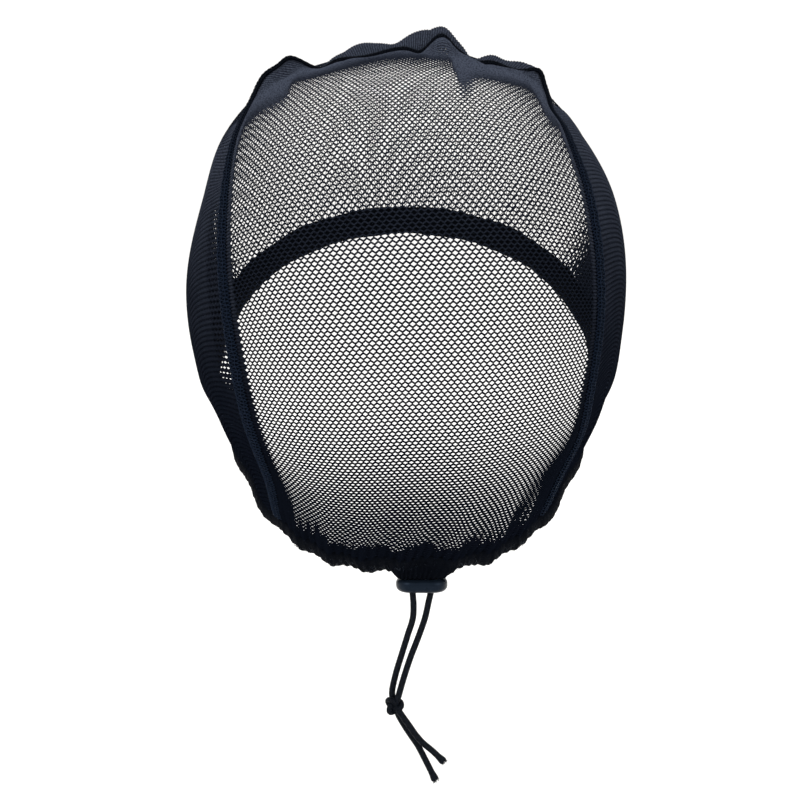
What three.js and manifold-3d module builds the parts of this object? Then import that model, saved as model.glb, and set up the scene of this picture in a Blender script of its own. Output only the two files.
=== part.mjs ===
// Wig cap of knitted stretch net with a gathered drawstring casing, in millimetres, +Z up.
// The wearer faces -Y, so the back of the cap is at +Y and the wearer's right at -X.
// The origin is inside the crown, where the top of the head carries the cap.
import * as THREE from 'three';
import { mergeVertices } from 'three/addons/utils/BufferGeometryUtils.js';
import Module from 'manifold-3d';

const wasm = await Module();
wasm.setup();

// Head form inside the cap
const headWidth = 151.6;
const backDepth = 93;
const frontDepth = 95;
const crownRise = 84;
const lowerRise = 104;
const formPower = 2.3;

// Cloth and the gap between neighbouring pieces
const clothWall = 1.2;
const pieceGap = 0.3;

// Overlocked seam between the panels
const seamWidth = 4.2;
const crownSeamWidth = 2.8;
const seamHeight = 1.6;
const seamEdgeHeight = 0.96;
const seamNarrowing = 0.04; // share of the seam's length over which its width changes at a shoulder
const cornerTurn = 4; // degrees from the back panel's corner to the front panel's

// Gathers
const crownRuffle = 5;
const puffHeight = 7;
const puffReach = 13;
const pleatDepth = 1.6;
const pleatReach = 26;
const hemFoldDepth = 1.5;
const hemFoldReach = 34;
const gatherPitch = 24;

// Drawstring casing
const casingHeight = 9.4;
const casingThickness = 4.2;
const casingWall = 0.8;
const casingSides = 8;
const tunnelSides = 5;
const scallopDepth = 1;

// Cords, their stopper and their knot
const cordDiameter = 2.2;
const cordClearance = 0.3;
const cordSpacing = 6.3;
const stopperLength = 17.5;
const stopperDepth = 10.5;
const stopperThickness = 4.6;
const stopperEdge = 1.9;
const stopperOffset = 5.6;
const knotWidth = 6.6;
const knotCoreWidth = 5.7;
const knotStrand = 2;
const knotWraps = [
  { lean: 0.35, lift: 0.35 },
  { lean: -0.5, lift: -0.5 },
];

// Panel grids; the front panel's rows spread out away from the seam
const backColumns = 36;
const sideRows = 18;
const frontRows = 10;
const frontRowSpread = 1.3;
const backWrap = 1.25; // the back panel's width over its curve, as a share of the head's width

// Other mesh steps: a cord's straight steps as a share of its diameter, the sides of a round hole,
// how far a cutter stands out of what it cuts, and how close points are one point
const cordStepShare = 1.6;
const holeSides = 12;
const cutMargin = 1;
const weldDistance = 1e-4;

// Small steps for reading slopes: degrees round the hem, a share along the seam, a share downwards
const hemStep = 0.5;
const seamStep = 0.004;
const fallStep = 0.02;

// Shape of the head form: factors on its base solid, by angle down from the crown
const formRows = [
  { down: 0, right: 1, left: 1, back: 1, front: 1 },
  { down: 10, right: 1, left: 0.995, back: 1, front: 1 },
  { down: 22, right: 0.985, left: 0.975, back: 1.01, front: 1.01 },
  { down: 34, right: 1, left: 1.01, back: 1.02, front: 1.01 },
  { down: 48, right: 0.985, left: 1.005, back: 1.02, front: 1 },
  { down: 65, right: 1, left: 0.97, back: 1.01, front: 1 },
  { down: 90, right: 1, left: 0.995, back: 1, front: 1 },
  { down: 110, right: 0.97, left: 0.96, back: 0.97, front: 0.97 },
  { down: 130, right: 0.91, left: 0.885, back: 0.925, front: 0.9 },
  { down: 150, right: 0.935, left: 0.91, back: 0.94, front: 0.86 },
  { down: 180, right: 0.86, left: 0.86, back: 0.86, front: 0.86 },
];

// Lower edge of the panels: angle round from the back centre, angle above the widest level
const hemRows = [
  { around: 0, rise: -57 },
  { around: 25, rise: -57.5 },
  { around: 50, rise: -53 },
  { around: 75, rise: -41 },
  { around: 95, rise: -28 },
  { around: 120, rise: -12 },
  { around: 150, rise: 5 },
  { around: 180, rise: 11 },
];
const leftCorner = -50;
const rightCorner = 53;

// Seam between its two corners: angles across and up from the back centre
const seamRows = [
  { across: -33.5, up: -44 },
  { across: -36, up: -22 },
  { across: -40, up: 2 },
  { across: -43.5, up: 22 },
  { across: -45.5, up: 38 },
  { across: -46, up: 52 },
  { across: -45, up: 66 },
  { across: -34, up: 76 },
  { across: -16, up: 78 },
  { across: 4, up: 80 },
  { across: 22, up: 79 },
  { across: 37, up: 76 },
  { across: 45, up: 68 },
  { across: 44, up: 54 },
  { across: 43, up: 42 },
  { across: 45, up: 24 },
  { across: 46.8, up: 0 },
  { across: 45, up: -20 },
  { across: 45, up: -36 },
];
const leftShoulder = 0.385;
const rightShoulder = 0.61;

// Ruffles of the crown seam: place and width along it, and height as a share of crownRuffle
const ruffleRows = [
  { along: 0.37, width: 0.02, rise: 0.7 },
  { along: 0.393, width: 0.012, rise: 0.5 },
  { along: 0.417, width: 0.012, rise: -0.4 },
  { along: 0.46, width: 0.025, rise: -0.45 },
  { along: 0.51, width: 0.009, rise: -0.4 },
  { along: 0.528, width: 0.012, rise: 0.95 },
  { along: 0.563, width: 0.012, rise: -0.4 },
  { along: 0.597, width: 0.015, rise: -0.15 },
  { along: 0.627, width: 0.012, rise: 0.75 },
  { along: 0.662, width: 0.02, rise: -0.45 },
];

// Puffs of the front panel beside the crown seam, as a share of puffHeight
const puffRows = [
  { along: 0.3, width: 0.025, rise: 0.2 },
  { along: 0.35, width: 0.018, rise: 0.25 },
  { along: 0.396, width: 0.015, rise: 0.15 },
  { along: 0.42, width: 0.012, rise: -0.35 },
  { along: 0.458, width: 0.018, rise: 0.25 },
  { along: 0.488, width: 0.008, rise: -0.3 },
  { along: 0.522, width: 0.024, rise: 0.7 },
  { along: 0.557, width: 0.008, rise: -0.4 },
  { along: 0.572, width: 0.01, rise: 0.15 },
  { along: 0.604, width: 0.014, rise: 0.4 },
  { along: 0.645, width: 0.015, rise: 0.25 },
  { along: 0.69, width: 0.02, rise: 0.15 },
];

// Pleats of the back panel below the crown seam: place across it, as shares
const pleatRows = [
  { across: 0.12, width: 0.04, depth: 1 },
  { across: 0.3, width: 0.04, depth: 0.5 },
  { across: 0.62, width: 0.05, depth: 1 },
  { across: 0.74, width: 0.035, depth: 0.6 },
  { across: 0.93, width: 0.04, depth: 1 },
];

// Gathers that fan up from the nape hem: place across it, as shares
const napeFoldRows = [
  { across: 0.08, width: 0.03, depth: 0.7 },
  { across: 0.2, width: 0.035, depth: 1 },
  { across: 0.33, width: 0.035, depth: 0.9 },
  { across: 0.48, width: 0.04, depth: 1 },
  { across: 0.65, width: 0.035, depth: 0.9 },
  { across: 0.8, width: 0.035, depth: 1 },
  { across: 0.92, width: 0.03, depth: 0.6 },
];

// Cords from the stopper's underside down: right of the cap's centre line, backwards and down
const leftCordRoute = [
  { right: 2.8, back: 0.1, drop: 4.6 },
  { right: 2.6, back: 0.3, drop: 9.6 },
  { right: 0.9, back: 0.4, drop: 15.4 },
  { right: -1.3, back: 0.2, drop: 22.8 },
  { right: -3.4, back: -0.2, drop: 30.2 },
  { right: -4.5, back: -0.5, drop: 36.9 },
];
const rightCordRoute = [
  { right: 7.9, back: 0.1, drop: 4.2 },
  { right: 6.7, back: 0.3, drop: 9.7 },
  { right: 4.2, back: 0.6, drop: 17 },
  { right: 1.9, back: 1, drop: 23 },
  { right: -0.6, back: 1.4, drop: 30.8 },
  { right: -2.3, back: 1.6, drop: 36.9 },
];
const knotCentre = { right: -3.7, back: 0.5, drop: 40.5 };
const leftTailRoute = [
  { right: -1.3, back: 1.4, drop: 43.6 },
  { right: 1.2, back: 1.2, drop: 47.3 },
  { right: 3.6, back: 1.1, drop: 50.9 },
  { right: 5.9, back: 1.2, drop: 53.6 },
  { right: 9.4, back: 1.4, drop: 56.6 },
  { right: 13.2, back: 1.6, drop: 60.3 },
];
const rightTailRoute = [
  { right: -2.8, back: -0.9, drop: 44.5 },
  { right: 0, back: -1.2, drop: 48.7 },
  { right: 2.2, back: -1.4, drop: 52.2 },
  { right: 4.3, back: -1.3, drop: 55.4 },
  { right: 7, back: -0.9, drop: 60.6 },
  { right: 10.4, back: -0.6, drop: 67.6 },
];

// Values read from a table at any place, on a smooth line through its rows
function readRow(rows, key, column, place) {
  const last = rows.length - 1;
  if (place <= rows[0][key]) return rows[0][column];
  if (place >= rows[last][key]) return rows[last][column];
  let row = 0;
  while (place > rows[row + 1][key]) row += 1;
  const slope = (index) => {
    if (index === 0 || index === last) return 0;
    const before = rows[index - 1];
    const after = rows[index + 1];
    return (after[column] - before[column]) / (after[key] - before[key]);
  };
  const span = rows[row + 1][key] - rows[row][key];
  const share = (place - rows[row][key]) / span;
  const square = share * share;
  const cube = square * share;
  return (2 * cube - 3 * square + 1) * rows[row][column]
    + (cube - 2 * square + share) * span * slope(row)
    + (3 * square - 2 * cube) * rows[row + 1][column]
    + (cube - square) * span * slope(row + 1);
}

// Sum of round bumps placed by a table
function bumps(rows, key, column, place) {
  return rows.reduce((sum, row) => {
    const away = (place - row[key]) / row.width;
    return sum + row[column] * Math.exp(-away * away);
  }, 0);
}

// Smooth step from 1 at the start to 0 at the end of a reach
function fade(distance, reach) {
  const share = THREE.MathUtils.clamp(distance / reach, 0, 1);
  return 1 - share * share * (3 - 2 * share);
}

const radians = THREE.MathUtils.degToRad;
const degrees = THREE.MathUtils.radToDeg;
const formCentre = new THREE.Vector3(0, 0, -crownRise);

// Distance from the form's centre to the head, along a unit direction
function headRadius(direction) {
  const depth = direction.y > 0 ? backDepth : frontDepth;
  const height = direction.z > 0 ? crownRise : lowerRise;
  const sum = Math.abs(direction.x / (headWidth / 2)) ** formPower
    + Math.abs(direction.y / depth) ** formPower
    + Math.abs(direction.z / height) ** formPower;
  const down = degrees(Math.acos(THREE.MathUtils.clamp(direction.z, -1, 1)));
  const flat = Math.max(Math.hypot(direction.x, direction.y), 1e-6);
  const side = (direction.x / flat) ** 2;
  const sideFactor = readRow(formRows, 'down', direction.x < 0 ? 'right' : 'left', down);
  const lengthFactor = readRow(formRows, 'down', direction.y > 0 ? 'back' : 'front', down);
  return sum ** (-1 / formPower) * (side * sideFactor + (1 - side) * lengthFactor);
}

// Direction given by its angles across and up from the back centre
function backDirection(across, up) {
  const angle = Math.hypot(across, up);
  const turn = radians(angle);
  const scale = angle < 1e-6 ? 0 : Math.sin(turn) / angle;
  return new THREE.Vector3(-across * scale, Math.cos(turn), up * scale);
}

// Angles across and up of a direction, the reverse of backDirection
function backAngles(direction) {
  const turn = Math.acos(THREE.MathUtils.clamp(direction.y, -1, 1));
  const scale = turn < 1e-6 ? 0 : degrees(turn) / Math.sin(turn);
  return new THREE.Vector3(-direction.x * scale, direction.z * scale, 0);
}

// Direction of the panels' lower edge at an angle round from the back centre
function hemDirection(around) {
  const rise = radians(readRow(hemRows, 'around', 'rise', Math.abs(around)));
  const turn = radians(around);
  return new THREE.Vector3(-Math.sin(turn) * Math.cos(rise), Math.cos(turn) * Math.cos(rise), Math.sin(rise));
}

const seamCurve = new THREE.CatmullRomCurve3([
  backAngles(hemDirection(leftCorner)),
  ...seamRows.map((row) => new THREE.Vector3(row.across, row.up, 0)),
  backAngles(hemDirection(rightCorner)),
], false, 'centripetal');

function seamAngles(along) {
  return seamCurve.getPointAt(THREE.MathUtils.clamp(along, 0, 1));
}

// Lift of the cloth off the head at the crown seam and at the hem
function seamLift(along) {
  return crownRuffle * bumps(ruffleRows, 'along', 'rise', along);
}

const halfTurn = 180;
const hemLength = Math.PI * (headWidth + backDepth + frontDepth) / 2;
const gatherCount = Math.round(hemLength / gatherPitch);

function hemLift(around) {
  if (around >= leftCorner && around <= rightCorner) {
    const across = (around - leftCorner) / (rightCorner - leftCorner);
    return hemFoldDepth * bumps(napeFoldRows, 'across', 'depth', across);
  }
  return hemFoldDepth * 0.5 * (1 - Math.cos(radians(around + halfTurn) * gatherCount));
}

function clothPoint(direction, lift) {
  return direction.clone().multiplyScalar(headRadius(direction) + lift).add(formCentre);
}

// Back panel: across runs from the left seam to the right one, up from the hem to the crown seam
const leftSpan = leftShoulder;
const rightSpan = 1 - rightShoulder;

function backPoint(across, up, lift) {
  const around = THREE.MathUtils.lerp(leftCorner, rightCorner, across);
  const hem = backAngles(hemDirection(around));
  const crownAlong = THREE.MathUtils.lerp(leftShoulder, rightShoulder, across);
  const crown = seamAngles(crownAlong);
  const left = seamAngles(leftSpan * up);
  const right = seamAngles(1 - rightSpan * up);
  const corners = seamAngles(0).multiplyScalar((1 - across) * (1 - up))
    .addScaledVector(seamAngles(1), across * (1 - up))
    .addScaledVector(seamAngles(leftShoulder), (1 - across) * up)
    .addScaledVector(seamAngles(rightShoulder), across * up);
  const angles = hem.multiplyScalar(1 - up)
    .addScaledVector(crown, up)
    .addScaledVector(left, 1 - across)
    .addScaledVector(right, across)
    .sub(corners)
    .multiplyScalar(1 - pieceGap / (backWidth / 2));
  const direction = backDirection(angles.x, angles.y);
  const fromSide = Math.min(across, 1 - across) * backWidth;
  const fromCrown = (1 - up) * backLength;
  const fromHem = up * backLength;
  const nearSide = fade(fromSide, puffReach);
  const nearCrown = fade(fromCrown, puffReach);
  const sideAlong = across < 0.5 ? leftSpan * up : 1 - rightSpan * up;
  const shoulder = across < 0.5 ? leftShoulder : rightShoulder;
  const ruffle = seamLift(crownAlong) * nearCrown + seamLift(sideAlong) * nearSide
    - seamLift(shoulder) * nearCrown * nearSide;
  const pleats = pleatDepth * bumps(pleatRows, 'across', 'depth', across) * fade(fromCrown, pleatReach)
    * (1 - fade(fromCrown, puffReach / 2));
  const hemRise = hemLift(around) * fade(fromHem, hemFoldReach);
  return clothPoint(direction, lift + ruffle + pleats + hemRise);
}

// Front panel: along follows the seam from corner to corner, down runs from the seam to the hem
function frontHemAround(along) {
  const start = leftCorner - cornerTurn;
  const end = rightCorner + cornerTurn - 2 * halfTurn;
  return THREE.MathUtils.lerp(start, end, along);
}

function wrapTurn(around) {
  return around < -halfTurn ? around + 2 * halfTurn : around;
}

// Ends and width of the front panel's strip at one place along the seam
function frontStrip(along) {
  const seamAngle = seamAngles(along);
  const seam = backDirection(seamAngle.x, seamAngle.y);
  const around = wrapTurn(frontHemAround(along));
  const hem = hemDirection(around);
  const turn = seam.angleTo(hem);
  const width = turn * (frontDepth + headWidth / 2) / 2;
  return { seam, hem, around, turn, width };
}

function frontPoint(along, down, lift) {
  const strip = frontStrip(along);
  const direction = strip.seam.multiplyScalar(Math.sin((1 - down) * strip.turn))
    .addScaledVector(strip.hem, Math.sin(down * strip.turn))
    .normalize();
  const fromSeam = down * strip.width;
  const ruffle = seamLift(along) * fade(fromSeam, puffReach);
  const beside = Math.sin(Math.PI * THREE.MathUtils.clamp(fromSeam / (2 * puffReach), 0, 1));
  const puff = puffHeight * bumps(puffRows, 'along', 'rise', along) * beside;
  const hemReach = Math.min(hemFoldReach, strip.width);
  const hemRise = hemLift(strip.around) * fade(strip.width - fromSeam, hemReach);
  return clothPoint(direction, lift + ruffle + puff + hemRise);
}

// Closed solid from rows of points: an inner face, an outer face and the rim between them
function wallSolid(columns, rows, pointAt) {
  const positions = [];
  const indices = [];
  const index = (side, row, column) => (side * (rows + 1) + row) * (columns + 1) + column;
  for (let side = 0; side < 2; side += 1) {
    for (let row = 0; row <= rows; row += 1) {
      for (let column = 0; column <= columns; column += 1) {
        positions.push(...pointAt(column, row, side * clothWall).toArray());
      }
    }
  }
  const quad = (a, b, c, d) => indices.push(a, b, c, a, c, d);
  for (let row = 0; row < rows; row += 1) {
    for (let column = 0; column < columns; column += 1) {
      const next = column + 1;
      const above = row + 1;
      quad(index(1, row, column), index(1, row, next), index(1, above, next), index(1, above, column));
      quad(index(0, row, column), index(0, above, column), index(0, above, next), index(0, row, next));
    }
  }
  for (let column = 0; column < columns; column += 1) {
    const next = column + 1;
    quad(index(0, 0, column), index(0, 0, next), index(1, 0, next), index(1, 0, column));
    quad(index(1, rows, column), index(1, rows, next), index(0, rows, next), index(0, rows, column));
  }
  for (let row = 0; row < rows; row += 1) {
    const above = row + 1;
    quad(index(1, row, 0), index(1, above, 0), index(0, above, 0), index(0, row, 0));
    quad(index(0, row, columns), index(0, above, columns), index(1, above, columns), index(1, row, columns));
  }
  return indexedGeometry(positions, indices);
}

function indexedGeometry(positions, indices) {
  const geometry = new THREE.BufferGeometry();
  geometry.setAttribute('position', new THREE.Float32BufferAttribute(positions, 3));
  geometry.setIndex(indices);
  geometry.computeVertexNormals();
  return geometry;
}

// Closed solid from a line of rings, with flat ends unless the line closes on itself
function ringSolid(rings, closed) {
  const sides = rings[0].length;
  const positions = rings.flat().flatMap((point) => point.toArray());
  const indices = [];
  const spans = closed ? rings.length : rings.length - 1;
  for (let ring = 0; ring < spans; ring += 1) {
    const next = (ring + 1) % rings.length;
    for (let side = 0; side < sides; side += 1) {
      const beside = (side + 1) % sides;
      const a = ring * sides + side;
      const b = ring * sides + beside;
      const c = next * sides + beside;
      const d = next * sides + side;
      indices.push(a, b, c, a, c, d);
    }
  }
  const lastStart = (rings.length - 1) * sides;
  for (let side = 1; side < sides - 1 && !closed; side += 1) {
    indices.push(0, side + 1, side);
    indices.push(lastStart, lastStart + side, lastStart + side + 1);
  }
  return indexedGeometry(positions, indices);
}

// Solids for cutting and joining, from closed geometry and back
function toSolid(geometry) {
  const bare = geometry.clone();
  bare.deleteAttribute('normal');
  bare.deleteAttribute('uv');
  const merged = mergeVertices(bare, weldDistance);
  const mesh = new wasm.Mesh({
    numProp: 3,
    vertProperties: new Float32Array(merged.attributes.position.array),
    triVerts: new Uint32Array(merged.index.array),
  });
  return new wasm.Manifold(mesh);
}

function fromSolid(solid) {
  const mesh = solid.getMesh();
  return indexedGeometry(Array.from(mesh.vertProperties), Array.from(mesh.triVerts));
}

// Back panel grid: its outer columns and its top row lie under the edges of the seam
const backWidth = headWidth * backWrap;
const backLength = radians(seamAngles(leftShoulder).distanceTo(seamAngles(0))) * backDepth;
const frontEdgeShare = pieceGap / 2 / frontDepth;
const sideShare = seamWidth / 2 / backWidth;
const crownShare = crownSeamWidth / 2 / backLength;
const columnShares = Array.from({ length: backColumns + 1 }, (_, column) => column / backColumns);
const rowShares = Array.from({ length: sideRows + 1 }, (_, row) => row / sideRows);

function makeBackPanel() {
  const columns = [0, sideShare, ...columnShares.slice(1, -1), 1 - sideShare, 1];
  const rows = [...rowShares.slice(0, -1), 1 - crownShare, 1];
  return wallSolid(columns.length - 1, rows.length - 1, (column, row, lift) => (
    backPoint(columns[column], rows[row], lift)
  ));
}

// Front panel, with the same stations along the seam as the back panel's three seam edges
const seamStations = [
  ...rowShares.slice(0, -1).map((share) => leftSpan * share),
  ...columnShares.slice(0, -1).map((share) => THREE.MathUtils.lerp(leftShoulder, rightShoulder, share)),
  ...rowShares.map((share) => rightShoulder + rightSpan * share),
];

// Half the seam's width at a place along it
function seamHalf(along) {
  const inside = Math.min(along - leftShoulder, rightShoulder - along);
  const narrow = THREE.MathUtils.clamp(inside / seamNarrowing + 0.5, 0, 1);
  return THREE.MathUtils.lerp(seamWidth, crownSeamWidth, narrow) / 2;
}

function seamShare(along) {
  return Math.min(seamHalf(along) / frontStrip(along).width, 0.5);
}

function makeFrontPanel() {
  return wallSolid(seamStations.length - 1, frontRows, (column, row, lift) => {
    const along = seamStations[column];
    const first = seamShare(along);
    const share = ((row - 1) / (frontRows - 1)) ** frontRowSpread;
    const down = row === 0 ? frontEdgeShare : THREE.MathUtils.lerp(first, 1, share);
    return frontPoint(along, down, lift);
  });
}

// Hem line stations, once round from the left corner over the nape and back by the forehead
function hemStations() {
  const backPart = columnShares.map((share) => THREE.MathUtils.lerp(leftCorner, rightCorner, share));
  const frontPart = seamStations.map((along) => wrapTurn(frontHemAround(along))).reverse();
  return [...backPart, ...frontPart];
}

// Casing section at one place round the hem: its middle, its way down and its way out
function casingFrame(around) {
  const at = hemDirection(around);
  const lift = hemLift(around);
  const point = clothPoint(at, lift);
  const before = clothPoint(hemDirection(around - hemStep), 0);
  const tangent = clothPoint(hemDirection(around + hemStep), 0).sub(before).normalize();
  const out = at.clone().addScaledVector(tangent, -at.dot(tangent)).normalize();
  const down = new THREE.Vector3().crossVectors(tangent, out).normalize();
  const below = at.clone().addScaledVector(down, fallStep).normalize();
  const fall = clothPoint(below, lift).sub(point);
  fall.addScaledVector(tangent, -fall.dot(tangent)).normalize();
  const outward = new THREE.Vector3().crossVectors(fall, tangent).normalize();
  const rimDrop = clothWall * Math.max(0, at.dot(fall));
  const middle = point.addScaledVector(fall, pieceGap + rimDrop + casingHeight / 2)
    .addScaledVector(outward, clothWall / 2);
  return { middle, fall, outward };
}

// Oval ring of the casing or its tunnel; the outer ring's flats lie on the oval
const cornerSwell = 1 / Math.cos(Math.PI / casingSides);

function casingRing(around, height, thickness, sides) {
  const frame = casingFrame(around);
  const scallop = scallopDepth * (hemLift(around) / hemFoldDepth - 0.5);
  const ring = [];
  for (let side = 0; side < sides; side += 1) {
    const turn = -2 * Math.PI * (side + 0.5) / sides;
    const low = Math.max(0, -Math.sin(turn)) * scallop;
    ring.push(frame.middle.clone()
      .addScaledVector(frame.fall, -Math.sin(turn) * height / 2 * cornerSwell + low)
      .addScaledVector(frame.outward, Math.cos(turn) * thickness / 2 * cornerSwell));
  }
  return ring;
}

const casingRings = hemStations().map((around) => (
  casingRing(around, casingHeight, casingThickness, casingSides)
));
const tunnelHeight = casingHeight - 2 * casingWall;
const tunnelThickness = casingThickness - 2 * casingWall;
const tunnelRings = hemStations().map((around) => (
  casingRing(around, tunnelHeight, tunnelThickness, tunnelSides)
));

// Cords leave the casing through two eyelets above the stopper
const napeRadius = (backDepth + headWidth / 2) / 2 * Math.cos(radians(hemRows[0].rise));
const stopperAround = degrees(Math.asin(stopperOffset / napeRadius));
const cordSeat = casingFrame(stopperAround).middle.clone().setX(-stopperOffset);
const stopperTop = Math.min(...casingRings.flat()
  .filter((point) => Math.abs(point.x - cordSeat.x) < stopperLength / 2 + pieceGap && point.y > 0)
  .map((point) => point.z)) - pieceGap;
const stopperBottom = stopperTop - stopperThickness;
const holeDiameter = cordDiameter + 2 * cordClearance;

function verticalPin(x, top, bottom, diameter) {
  const pin = new THREE.CylinderGeometry(diameter / 2, diameter / 2, top - bottom, holeSides);
  pin.rotateX(Math.PI / 2);
  pin.translate(x, cordSeat.y, (top + bottom) / 2);
  return pin;
}

const cordPlaces = [-stopperOffset + cordSpacing / 2, -stopperOffset - cordSpacing / 2];

function makeCasing() {
  let casing = toSolid(ringSolid(casingRings, true)).subtract(toSolid(ringSolid(tunnelRings, true)));
  for (const x of cordPlaces) {
    const eyelet = verticalPin(x, cordSeat.z + cordDiameter, stopperTop - casingHeight, holeDiameter);
    casing = casing.subtract(toSolid(eyelet));
  }
  return fromSolid(casing);
}

// Raised seam on both panels, its underside lying on the cloth
function seamSection(along) {
  const outside = (lift) => frontPoint(along, seamShare(along), clothWall + pieceGap + lift);
  const half = seamHalf(along);
  const cloth = Math.max(clothAbove(along, half), clothAbove(along, half / 2)) + pieceGap;
  const inward = insideDirection(along, half);
  const inside = (lift) => inward.clone().multiplyScalar(cloth + lift).add(formCentre);
  const middle = insideDirection(along, 0);
  const front = frontPoint(along, 0, clothWall).distanceTo(formCentre);
  const ridge = Math.max(front, clothAbove(along, 2 * pieceGap)) + pieceGap;
  const centre = (lift) => middle.clone().multiplyScalar(ridge + lift).add(formCentre);
  const crest = centre(seamHeight);
  return [outside(0), outside(seamEdgeHeight), crest, inside(seamEdgeHeight), inside(0), centre(0)];
}

// Direction at a distance inward from the seam, square to it
function insideDirection(along, distance) {
  const here = seamAngles(along);
  const forward = seamAngles(along + seamStep).sub(seamAngles(along - seamStep)).normalize();
  const inward = degrees(distance / backDepth);
  return backDirection(here.x + forward.y * inward, here.y - forward.x * inward);
}

// Highest cloth of the back panel beside the seam, read a little way along it on both sides
const nearbyShares = [-0.6, -0.3, 0, 0.3, 0.6];

function clothAbove(along, distance) {
  const station = rightSpan / sideRows;
  const places = nearbyShares.map((share) => insideDirection(along + share * station, distance));
  return Math.max(...places.map(clothDistance));
}

// Distance from the form's centre to the outside of the back panel as built, looking in from afar
function clothDistance(direction) {
  const afar = 2 * headRadius(direction);
  const start = direction.clone().multiplyScalar(afar).add(formCentre);
  const hits = new THREE.Raycaster(start, direction.clone().negate()).intersectObject(backPanel);
  return Math.max(headRadius(direction) + clothWall, ...hits.map((hit) => afar - hit.distance));
}

function makeSeam() {
  const margin = 2 * pieceGap / (seamCurve.getLength() * radians(backDepth));
  const rings = seamStations.map((along) => seamSection(THREE.MathUtils.clamp(along, margin, 1 - margin)));
  return ringSolid(rings, false);
}

// Stopper, a flat oval with rounded edges and two holes
function makeStopper() {
  const outline = new THREE.Shape();
  const end = stopperDepth / 2 - stopperEdge;
  const straight = (stopperLength - stopperDepth) / 2;
  outline.moveTo(-straight, -end);
  outline.lineTo(straight, -end);
  outline.absarc(straight, 0, end, -Math.PI / 2, Math.PI / 2, false);
  outline.lineTo(-straight, end);
  outline.absarc(-straight, 0, end, Math.PI / 2, Math.PI * 1.5, false);
  const slab = new THREE.ExtrudeGeometry(outline, {
    depth: stopperThickness - 2 * stopperEdge,
    bevelThickness: stopperEdge,
    bevelSize: stopperEdge,
    bevelSegments: 3,
    curveSegments: 4,
  });
  slab.translate(cordSeat.x, cordSeat.y, stopperBottom + stopperEdge);
  let stopper = toSolid(slab);
  for (const x of cordPlaces) {
    const hole = verticalPin(x, stopperTop + cutMargin, stopperBottom - cutMargin, holeDiameter);
    stopper = stopper.subtract(toSolid(hole));
  }
  return fromSolid(stopper);
}

// Cords: a round section along a curve
function routePoint(row) {
  return new THREE.Vector3(-row.right, cordSeat.y + row.back, stopperBottom - row.drop);
}

function makeCord(points) {
  const curve = new THREE.CatmullRomCurve3(points, false, 'centripetal');
  const section = new THREE.Shape();
  section.absarc(0, 0, cordDiameter / 2, 0, Math.PI * 2, false);
  const steps = Math.round(curve.getLength() / (cordStepShare * cordDiameter));
  return new THREE.ExtrudeGeometry(section, {
    steps,
    curveSegments: 4,
    bevelEnabled: false,
    extrudePath: curve,
  });
}

function makeDrawcord(x, route) {
  const top = [cordSeat.z, stopperTop, stopperBottom].map((z) => new THREE.Vector3(x, cordSeat.y, z));
  return makeCord([...top, ...route.map(routePoint)]);
}

// Knot: a round core with two wraps of cord
function makeKnot() {
  const core = new THREE.SphereGeometry(knotCoreWidth / 2, 8, 6);
  const centre = routePoint(knotCentre);
  const wrapRadius = (knotWidth - knotStrand) / 2;
  let knot = toSolid(core.translate(centre.x, centre.y, centre.z));
  for (const { lean, lift } of knotWraps) {
    const wrap = new THREE.TorusGeometry(wrapRadius, knotStrand / 2, 5, 10);
    wrap.rotateX(Math.PI / 2 + lean);
    wrap.rotateY(lean);
    wrap.translate(centre.x, centre.y, centre.z + lift);
    knot = knot.add(toSolid(wrap));
  }
  return fromSolid(knot);
}

// Assembly
const group = new THREE.Group();

function addPiece(name, geometry, color, roughness) {
  const material = new THREE.MeshStandardMaterial({ color, roughness, metalness: 0 });
  const mesh = new THREE.Mesh(geometry, material);
  mesh.name = name;
  group.add(mesh);
  return mesh;
}

const backPanel = addPiece('back_panel', makeBackPanel(), '#161b23', 0.85);

addPiece('front_panel', makeFrontPanel(), '#12171f', 0.85);
addPiece('panel_seam', makeSeam(), '#0f1826', 0.8);
addPiece('hem_casing', makeCasing(), '#05070b', 0.9);
addPiece('cord_stopper', makeStopper(), '#1a222b', 0.4);
addPiece('drawcord_left', makeDrawcord(cordPlaces[0], leftCordRoute), '#0a0e14', 0.75);
addPiece('drawcord_right', makeDrawcord(cordPlaces[1], rightCordRoute), '#0a0e14', 0.75);
addPiece('cord_knot', makeKnot(), '#0a0e14', 0.75);
addPiece('tail_left', makeCord(leftTailRoute.map(routePoint)), '#0a0e14', 0.75);
addPiece('tail_right', makeCord(rightTailRoute.map(routePoint)), '#0a0e14', 0.75);

export default group;
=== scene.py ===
import math

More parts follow.
